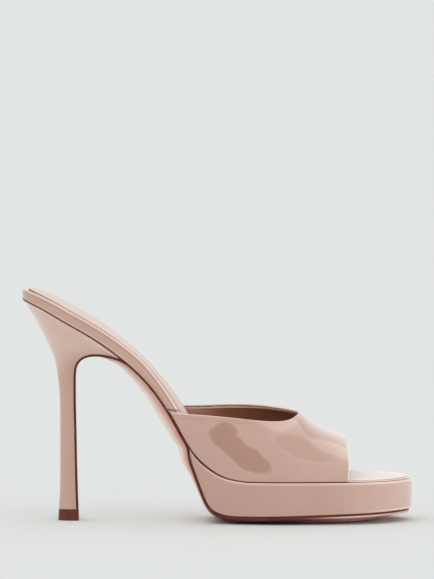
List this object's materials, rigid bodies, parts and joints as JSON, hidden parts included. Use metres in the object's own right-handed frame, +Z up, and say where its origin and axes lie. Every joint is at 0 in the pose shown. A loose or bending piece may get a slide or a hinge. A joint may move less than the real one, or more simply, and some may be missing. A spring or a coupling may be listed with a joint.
{
  "type": "platform mule",
  "caption": "High-heeled platform mule, right shoe: open back, peep toe, glossy one-piece vamp, covered platform and slender covered heel, thin outsole.",
  "frame": {"origin": "on the floor, under the middle of the shoe's box", "axes": "+X to the toe, +Y to the medial (inner) side, +Z up"},
  "size_m": [0.2138, 0.0778, 0.1296],
  "materials": {
    "patent_vamp": "glossy nude-pink patent leather with a matt pale lining",
    "patent_platform": "glossy nude-pink patent leather over the platform",
    "patent_band": "glossy nude-pink patent leather over the insole's edge",
    "sock_lining": "smooth pale matt lining",
    "sole_leather": "thin reddish-brown sole leather, satin",
    "patent_heel": "glossy nude-pink patent leather wrapped round the heel",
    "tip_plastic": "brown hard plastic, satin"
  },
  "bodies": {
    "root": {"upper": "patent_vamp", "platform": "patent_platform", "insole": "patent_band", "sock": "sock_lining", "outsole": "sole_leather", "heel": "patent_heel", "heel_tip": "tip_plastic"}
  },
  "joints": []
}
